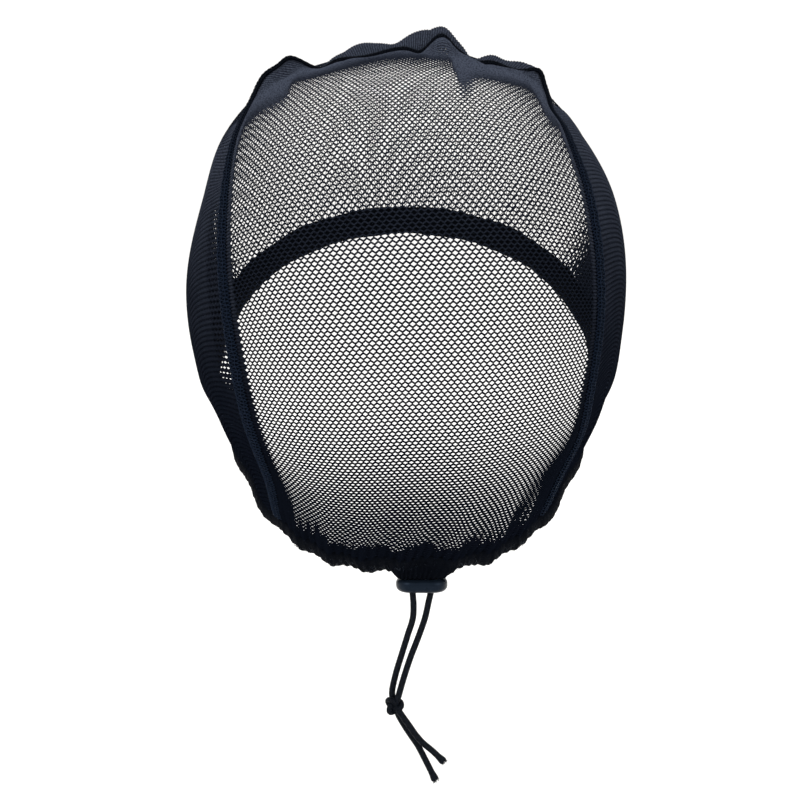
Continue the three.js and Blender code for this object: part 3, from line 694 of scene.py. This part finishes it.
def back_cloth(column, row):
    """Points of the back net: its rows rise a little to the right, as it is sewn in askew."""
    across = edge_in(column / back_columns, 0.006)
    share = np.clip(row / (back_rows - 1), 0, 1)
    up = share * (1 - 0.12 * (1 - share) ** 3)
    askew = 0.035 * (across - 0.5) + 0.0035 * np.sin(4 * math.pi * (across - 0.13))
    up = np.clip(up + askew * (1 - fade(share, 0.2)) * (1 - fade(1 - share, 0.2)), 0, 1)
    squeeze = 0.006 * np.sin(14 * math.pi * across + 0.8) * fade(up * back_length, 38 * mm)
    across = across + squeeze * np.sin(math.pi * across)
    return back_place(across, edge_in(up, 0.004), net_lift)


def back_closed(column, row):
    """How far the back net is gathered shut: under the crown seam, beside the seam and at the nape."""
    across, share = column / back_columns, np.clip(row / (back_rows - 1), 0, 1)
    under_crown = (1 - share) * back_length
    pleat_lean = 0.004 * (under_crown / mm - 20) * fade(across, 0.4)
    gathered = fade(under_crown - read_rows(close_rows, 1, across - pleat_lean) * mm + 5 * mm, 19 * mm)
    from_side = np.minimum(across, 1 - across) * back_width
    doubled = fade(from_side - 3 * mm, (1.8 + 15 * fade(share, 0.4)) * mm)
    hem_edge = (5 + 2 * np.sin(37 * across + 1.2) + 1.2 * np.sin(83 * across)) * mm
    hemmed = fade(share * back_length - hem_edge, hem_shut)
    drawn = 0.75 * fade(share * back_length, 80 * mm)
    return np.maximum.reduce([gathered, doubled, hemmed, drawn])


back_net = place_piece(
    "back_net", knit_net("back_net", back_columns, back_rows, back_cloth, back_closed), knitted_nylon,
    "net", "back_panel",
)

# FRONT NET
# The same net, sewn to the back panel and drawn over the sides, the top front and the forehead. Its
# rows run from the seam to the casing, and it puffs up where the crown seam gathers it.
corner_turn = 4
# place along the seam, width, height as a share of puff_height
puff_height = 7 * mm
puff_rows = [
    (0.29, 0.025, -0.65), (0.345, 0.018, -0.4), (0.396, 0.015, 0.1), (0.42, 0.012, -0.35),
    (0.462, 0.018, 0.42), (0.488, 0.008, -0.3), (0.515, 0.025, 0.92), (0.557, 0.008, -0.5),
    (0.574, 0.01, 0.32), (0.606, 0.016, 0.68), (0.635, 0.014, -0.6), (0.69, 0.02, 0.1),
]


puff_reach = 26 * mm
roll_height, roll_reach = 2 * mm, 9 * mm
left_level, right_level = 0.14, 0.22


def front_around(along):
    """Angle round the hem at which the strip that starts at a place of the seam ends."""
    start, end = left_corner - corner_turn, right_corner + corner_turn - 360
    around = start + (end - start) * along
    return np.where(around < -180, around + 360, around)


def front_width(along):
    """The front panel's width from the seam to the hem, and both ends as unit directions."""
    seam = seam_angles(along)
    seam_way = back_way(seam[:, 0], seam[:, 1])
    hem = hem_way(front_around(along))
    turn = np.arccos(np.clip((seam_way * hem).sum(1), -1, 1))
    return turn * (front_depth + head_width / 2) / 2, turn, seam_way, hem


def front_place(along, from_seam, lift):
    """Points of the front panel, at a distance from the seam on the strip to the hem."""
    width, turn, seam_way, hem = front_width(along)
    down = np.clip(from_seam / width, 0, 1)
    from_seam = down * width
    around = front_around(along)
    way = unit(seam_way * np.sin((1 - down) * turn)[:, None] + hem * np.sin(down * turn)[:, None])
    level = np.where(along < 0.5, left_level, right_level) * (1 - fade(np.abs(along - 0.5) - 0.12, 0.12))
    level = level * (1 - fade(np.minimum(along, 1 - along), 0.1))
    way = unit(way + np.array([0, 0, 1]) * (level * np.sin(math.pi * down))[:, None])
    ruffle = seam_lift(along) * fade(from_seam, seam_gather)
    beside = np.sin(math.pi * np.clip(from_seam / puff_reach, 0, 1))
    puff = puff_height * bumps(puff_rows, along) * beside
    roll = roll_height * fade(np.abs(along - 0.505) - 0.09, 0.025)
    roll = roll * np.sin(math.pi * np.clip(from_seam / roll_reach, 0, 1))
    folds = hem_lift(around) * fade(width - from_seam, np.minimum(hem_gather, width))
    return on_form(way, lift + ruffle + puff + roll + folds)


front_rows, front_cell = 330, 1.4 * mm


def front_along(row):
    """Where each row of the front net leaves the seam: the gathered crown takes up more rows."""
    share = row / (front_rows - 1)
    return edge_in(share + 0.35 * np.sin(2 * math.pi * share) / (2 * math.pi), 0.004)


front_reach = front_width(front_along(np.arange(front_rows)))[0] / front_cell + 1
front_columns = int(front_reach.max()) + 1


def front_cloth(column, row):
    """Points of the front net."""
    along = front_along(row)
    return front_place(along, column * front_cell + 0.4 * mm, net_lift)


def front_closed(column, row):
    """How far the front net is gathered shut: in the puffs over the crown and, less, at the sides."""
    along, from_seam = front_along(row), column * front_cell
    on_crown = fade(np.abs(along - 0.5) - 0.15, 0.05)
    puffed = fade(from_seam - 15 * mm, 12 * mm)
    see_through = fade(np.abs(along - 0.185) - 0.045, 0.025)
    see_through = see_through * fade(np.abs(from_seam - 8 * mm) - 5 * mm, 3 * mm)
    side = 0.99 - 0.27 * see_through + 0.04 * fade(along, 0.12)
    doubled = fade(from_seam - 2 * mm, 1.4 * mm)
    return -0.6 + 1.6 * np.maximum(on_crown * puffed + (1 - on_crown) * side, doubled)


front_net = place_piece(
    "front_net",
    knit_net("front_net", front_columns, front_rows, front_cloth, front_closed, front_reach),
    knitted_nylon, "net", "front_panel",
)

# SEAM
# Both panels' edges are overlocked together with navy polyester thread, 6.2 mm wide at the sides
# and drawn into a 2.2 mm rope over the gathered crown. The band's edges lie on the net.
seam_run = 0.48
side_half, crown_narrower = 3.1, 2.0
band_rise, band_sink, band_wall = 1.3 * mm, 0.5 * mm, 0.5 * mm


def seam_half(along):
    """Half the seam's width at a place along it: wide at the sides, narrow over the crown."""
    inside = np.minimum(along - left_shoulder, right_shoulder - along)
    return (side_half - crown_narrower * np.clip(inside / 0.06 + 2.1, 0, 1)) * mm


def seam_place(along, out, height):
    """Points beside the seam: out is metres towards the front panel, height is over the cloth."""
    here = seam_angles(along)
    step = seam_angles(along + 0.004) - seam_angles(along - 0.004)
    step = step / np.linalg.norm(step, axis=1)[:, None]
    turn = np.degrees((out + 0.9 * (seam_half(along) - 1.2 * mm)) / back_depth)
    way = back_way(here[:, 0] - step[:, 1] * turn, here[:, 1] + step[:, 0] * turn)
    return on_form(way, seam_lift(along) + cloth_wall + height)


seam_band = bmesh.new()
bmesh.ops.create_grid(seam_band, x_segments=8, y_segments=420, size=0.5)
flat = np.array([v.co for v in seam_band.verts])
band_out, band_along = 2 * flat[:, 0], edge_in(flat[:, 1] + 0.5, 0.002)
band_pull = 1 + 0.1 * np.sin(band_along * 2 * math.pi * seam_run / (3.1 * mm))
band_height = band_rise * np.sqrt(1 - 0.96 * band_out**2) - band_sink
band_points = seam_place(band_along, band_out * seam_half(band_along) * band_pull, band_height)
for vert, point in zip(seam_band.verts, band_points):
    vert.co = point
bmesh.ops.recalc_face_normals(seam_band, faces=seam_band.faces[:])
bmesh.ops.solidify(seam_band, geom=seam_band.faces[:], thickness=band_wall)
bmesh.ops.recalc_face_normals(seam_band, faces=seam_band.faces[:])
for face in seam_band.faces:
    face.smooth = True
seam_mesh = bpy.data.meshes.new("seam_band")
seam_band.to_mesh(seam_mesh)
seam_band.free()

# The cut edges inside the seam: net folded on itself, near-black and matte.
folded_net = start_material("folded_net")
folded_place = add_node(folded_net, "ShaderNodeTexCoord")
folded_grain = add_node(
    folded_net, "ShaderNodeTexNoise",
    {"Vector": folded_place.outputs["Object"], "Scale": 1 / (0.5 * mm), "Detail": 2.0},
)
folded_bump = add_node(
    folded_net, "ShaderNodeBump",
    {"Height": folded_grain.outputs[0], "Distance": 0.15 * mm, "Strength": 0.7},
)
end_material(
    folded_net,
    add_node(
        folded_net, "ShaderNodeBsdfPrincipled",
        {
            "Base Color": linear("#04060b"), "Roughness": 0.8, "Specular IOR Level": 0.0,
            "Normal": folded_bump.outputs[0],
        },
    ),
)
place_piece("seam_band", seam_mesh, folded_net, "seam_thread", "panel_seam")

# Overlock thread: textured navy polyester, lighter than the cloth at the sides, where its loops stand
# up, and darkened by painted shade to near-black over the crown, where the gathers bury it.
overlock_thread = start_material("overlock_thread")
overlock_place = add_node(overlock_thread, "ShaderNodeTexCoord")
overlock_parts = add_node(
    overlock_thread, "ShaderNodeSeparateXYZ", {0: overlock_place.outputs["Object"]}
)
# Painted shade: the thread darkens to near-black towards the crown.
overlock_crown_shade = add_node(
    overlock_thread, "ShaderNodeMapRange", {0: overlock_parts.outputs[2], 1: -45 * mm, 2: -8 * mm}
)
overlock_shaded_tint = add_node(
    overlock_thread, "ShaderNodeMix",
    {0: overlock_crown_shade.outputs[0], 6: linear("#121a27"), 7: linear("#080b11")}, data_type="RGBA",
)
overlock_fluff = add_node(
    overlock_thread, "ShaderNodeTexNoise",
    {"Vector": overlock_place.outputs["Object"], "Scale": 1 / (0.3 * mm), "Detail": 3.0},
)
overlock_bump = add_node(
    overlock_thread, "ShaderNodeBump",
    {"Height": overlock_fluff.outputs[0], "Distance": 0.08 * mm, "Strength": 0.7},
)
end_material(
    overlock_thread,
    add_node(
        overlock_thread, "ShaderNodeBsdfPrincipled",
        {
            "Base Color": overlock_shaded_tint.outputs[2], "Roughness": 0.75, "Specular IOR Level": 0.03,
            "Normal": overlock_bump.outputs[0],
        },
    ),
)

# Three looper threads swing from edge to edge of the band, a third of a stitch apart, and cross in
# a fine lattice; two needle threads run along it.
stitch_pitch = 3.6 * mm
thread_width = 0.32 * mm
looper_count = 3
stitch_count = round(seam_run / stitch_pitch)
stitch_lines = []
for looper in range(looper_count):
    places = np.linspace(0, stitch_count, 12 * stitch_count + 1)
    swing = 2 * math.pi * (places + looper / looper_count)
    sway = np.sin(swing) + 0.06 * np.sin(5.3 * places + looper)
    along = edge_in(places / stitch_count, 0.003)
    hug = band_rise * np.sqrt(1 - 0.9 * np.clip(sway, -1, 1) ** 2) - 0.45 * mm
    hug = hug + 0.1 * mm * np.cos(swing)
    stitch_lines.append(seam_place(along, sway * seam_half(along) * 1.02, hug))
for side in (-0.5, 0.35):
    places = np.linspace(0, 2 * stitch_count, 12 * stitch_count + 1)
    along = edge_in(places / (2 * stitch_count), 0.003)
    rise = 0.9 * mm * math.sqrt(1 - side**2) + 0.14 * mm * np.abs(np.sin(math.pi * places))
    wander = side + 0.12 * np.sin(2.3 * places)
    stitch_lines.append(seam_place(along, wander * seam_half(along), rise))
place_piece(
    "seam_stitches", thread_mesh("seam_stitches", stitch_lines, thread_width, 6), overlock_thread,
    "seam_thread",
)

# CASING
# The lower edge of both panels, folded back on itself and stitched into a tunnel for the drawcord.
# The pulled cord crumples it into small uneven puckers all the way round.
nape_rings, front_rings = 260, 560
nape_places = np.linspace(left_corner, right_corner, nape_rings, endpoint=False)
front_places = np.linspace(right_corner, 360 + left_corner, front_rings, endpoint=False)
hem_places = np.concatenate([nape_places, front_places])
hem_around = np.where(hem_places > 180, hem_places - 360, hem_places)
hem_here = hem_way(hem_around)
hem_rise = hem_lift(hem_around)
edge_line = on_form(hem_here, hem_rise)
plain_edge = on_form(hem_here, 0)
ahead = unit(np.roll(plain_edge, -2, axis=0) - np.roll(plain_edge, 2, axis=0))
under = unit(np.cross(ahead, hem_here))
under = -under * np.sign(under[:, 2])[:, None]
fall = on_form(unit(hem_here + 0.02 * under), hem_rise) - edge_line
fall = unit(fall - ahead * (fall * ahead).sum(1)[:, None])
outward = np.cross(fall, ahead)
outward = outward * np.sign((outward * hem_here).sum(1))[:, None]
casing_height, casing_thickness = 9.4 * mm, 4.2 * mm
net_gap, top_raise = 0.3 * mm, 1.6 * mm
rim_drop = cloth_wall * np.maximum(0, (hem_here * fall).sum(1))
casing_line = edge_line + fall * (net_gap + rim_drop + casing_height / 2)[:, None]
casing_line = casing_line + outward * cloth_wall / 2

sides, hem_radius = 18, 82 * mm
stopper_angle, stopper_reach = 6, 12.5
ring_count = len(hem_places)
casing_shape = bmesh.new()
bmesh.ops.create_grid(casing_shape, x_segments=ring_count, y_segments=sides, size=0.5)
flat = np.array([v.co for v in casing_shape.verts])
ring = np.rint((flat[:, 0] + 0.5) * ring_count).astype(int) % ring_count
side = np.rint((flat[:, 1] + 0.5) * sides).astype(int) % sides
turn = 2 * math.pi * side / sides
run = hem_places[ring] * math.pi / 180 * hem_radius / mm
nape = fade(np.abs(hem_around[ring]) - 42, 14)
scallop = 1 * mm * (hem_rise[ring] / hem_fold_depth - 0.5)
scallop = scallop + 0.35 * mm * np.sin(run / 1.5 + 1.3 * np.sin(run / 5.3)) * nape
coarse = run * 2 * math.pi / 4.3 + 1.1 * np.sin(run / 6.1) + 0.5 * np.sin(turn)
fine = run * 2 * math.pi / 2.3 + 1.7 * np.sin(run / 4.3) + 1.2 * turn
pucker = (0.1 + 0.16 * nape) * mm * np.sin(coarse) + 0.12 * mm * np.sin(fine)
low, high = np.maximum(0, -np.sin(turn)), np.maximum(0, np.sin(turn))
height = casing_height / 2 + pucker * 0.6 + top_raise * high
near_stopper = np.exp(-(((hem_places[ring] - stopper_angle) / stopper_reach) ** 6))
on_stopper = near_stopper * low
points = (
    casing_line[ring]
    - fall[ring] * (np.sin(turn) * height - low * scallop)[:, None]
    + outward[ring] * (np.cos(turn) * (casing_thickness / 2 + pucker) + 1 * mm * on_stopper)[:, None]
)
lean_out = near_stopper * np.clip(1.4 * np.cos(turn + math.pi / 4) - 0.2, 0, 1)
ripple = 0.45 * mm * np.sin(run * 2 * math.pi / 2.9 + 0.8 * np.sin(run / 2.1))
drape = stopper_high.y - 1.6 * mm + ripple
stopper_top = stopper_high.z + 0.05 * mm
points[:, 1] += (drape - points[:, 1]) * lean_out
points[:, 2] += (stopper_top - points[:, 2]) * np.clip(1.6 * on_stopper - 0.6, 0, 1)
points[:, 2] = np.where(on_stopper > 0.05, np.maximum(points[:, 2], stopper_top), points[:, 2])
for vert, point in zip(casing_shape.verts, points):
    vert.co = point
bmesh.ops.remove_doubles(casing_shape, verts=casing_shape.verts, dist=0.001 * mm)
bmesh.ops.recalc_face_normals(casing_shape, faces=casing_shape.faces[:])
for face in casing_shape.faces:
    face.smooth = True
casing_mesh = bpy.data.meshes.new("casing")
casing_shape.to_mesh(casing_mesh)
casing_shape.free()

# Doubled and gathered net: the holes of its layers cover each other, so it reads as dull black
# cloth with a fine cross-grain, 0.9 mm from yarn to yarn.
gathered_nylon = start_material("gathered_nylon")
gather_place = add_node(gathered_nylon, "ShaderNodeTexCoord")
gather_grain = add_node(
    gathered_nylon, "ShaderNodeTexVoronoi",
    {"Vector": gather_place.outputs["Object"], "Scale": 1 / (0.9 * mm), "Randomness": 0.55}, feature="F1",
)
gather_patch = add_node(
    gathered_nylon, "ShaderNodeTexNoise",
    {"Vector": gather_place.outputs["Object"], "Scale": 1 / (6 * mm), "Detail": 3.0},
)
gather_bump = add_node(
    gathered_nylon, "ShaderNodeBump",
    {"Height": gather_grain.outputs[0], "Distance": 0.25 * mm, "Strength": 0.7},
)
gather_tint = add_node(
    gathered_nylon, "ShaderNodeMix",
    {0: gather_patch.outputs[0], 6: linear("#020305"), 7: linear("#070a11")}, data_type="RGBA",
)
end_material(
    gathered_nylon,
    add_node(
        gathered_nylon, "ShaderNodeBsdfPrincipled",
        {
            "Base Color": gather_tint.outputs[2], "Roughness": 0.8, "Specular IOR Level": 0.02,
            "Sheen Weight": 0.01, "Sheen Tint": linear("#39465c"), "Normal": gather_bump.outputs[0],
        },
    ),
)
casing = place_piece("casing", casing_mesh, gathered_nylon, "casing_net", "hem_casing")

# Filaments that have worked loose from the gathered net: they lie across the casing at the nape and
# catch the light as faint blue-grey lines.
filament_count, filament_width = 100, 0.07 * mm
loose_filament = start_material("loose_filament")
end_material(
    loose_filament,
    add_node(
        loose_filament, "ShaderNodeBsdfPrincipled",
        {"Base Color": linear("#18202c"), "Roughness": 0.5, "IOR": 1.53, "Specular IOR Level": 0.2},
    ),
)
chance = np.random.default_rng(7)
filament_lines = []
for filament in range(filament_count):
    start = chance.uniform(8, nape_rings - 12)
    share = np.linspace(0, 1, 8)
    at = start + share * chance.uniform(-9, 9) + chance.uniform(-1, 1) * np.sin(share * 5)
    nearest = np.clip(np.rint(at).astype(int), 0, nape_rings - 1)
    climb = math.radians(chance.uniform(-45, 60)) + share * chance.uniform(-0.9, 0.9)
    climb = climb + 0.25 * np.sin(share * 7)
    reach_out = casing_thickness / 2 + 0.15 * mm + 0.25 * mm * np.sin(math.pi * share)
    filament_lines.append(
        casing_line[nearest]
        - fall[nearest] * (np.sin(climb) * (casing_height / 2 - 0.2 * mm))[:, None]
        + outward[nearest] * (np.cos(climb) * reach_out)[:, None]
    )
filaments = place_piece(
    "casing_filaments", thread_mesh("casing_filaments", filament_lines, filament_width, 4), loose_filament,
    "casing_net",
)

# STUDIO
# A plain pale floor that curves up into a pale backdrop, a white surround and two large soft
# lights, one on each side behind the camera, so that the holes of the net read light.
floor_level = -0.262
studio_shape = bmesh.new()
front_edge = studio_shape.edges.new([studio_shape.verts.new((x, 2.6, floor_level)) for x in (-5, 5)])
floor = bmesh.ops.extrude_edge_only(studio_shape, edges=[front_edge])["geom"]
bmesh.ops.translate(
    studio_shape, vec=(0, -4.4, 0), verts=[v for v in floor if isinstance(v, bmesh.types.BMVert)]
)
bend = bmesh.ops.spin(
    studio_shape, geom=[e for e in floor if isinstance(e, bmesh.types.BMEdge)],
    cent=(0, -1.8, floor_level + 1), axis=(1, 0, 0), dvec=(0, 0, 0), angle=-math.pi / 2, steps=24,
)["geom_last"]
wall = bmesh.ops.extrude_edge_only(
    studio_shape, edges=[e for e in bend if isinstance(e, bmesh.types.BMEdge)]
)["geom"]
bmesh.ops.translate(
    studio_shape, vec=(0, 0, 3), verts=[v for v in wall if isinstance(v, bmesh.types.BMVert)]
)
bmesh.ops.recalc_face_normals(studio_shape, faces=studio_shape.faces[:])
for face in studio_shape.faces:
    face.smooth = True
studio_mesh = bpy.data.meshes.new("studio")
studio_shape.to_mesh(studio_mesh)
studio_shape.free()
pale_paper = start_material("pale_paper")
end_material(
    pale_paper,
    add_node(pale_paper, "ShaderNodeBsdfPrincipled", {"Base Color": linear("#f4f3f1"), "Roughness": 0.9}),
)
studio_mesh.materials.append(pale_paper)
studio = bpy.data.objects.new("studio", studio_mesh)
bpy.context.scene.collection.objects.link(studio)

world = bpy.data.worlds.new("studio_white")
bpy.context.scene.world = world
world.use_nodes = True
world.node_tree.nodes["Background"].inputs["Color"].default_value = (1, 1, 1, 1)
world.node_tree.nodes["Background"].inputs["Strength"].default_value = 1.0
for name, place, power, size in (
    ("soft_left", (0.9, 1.2, 0.9), 16, 0.9),
    ("soft_right", (-1.1, 1.0, 0.5), 8, 0.9),
    ("soft_top", (0.1, -0.2, 1.5), 10, 1.0),
):
    light = bpy.data.objects.new(name, bpy.data.lights.new(name, "AREA"))
    light.data.energy = power
    light.data.size = size
    light.location = place
    light.rotation_euler = (Vector((0, 0, -0.08)) - light.location).to_track_quat("-Z", "Y").to_euler()
    bpy.context.scene.collection.objects.link(light)
bpy.context.scene.view_settings.view_transform = "Standard"
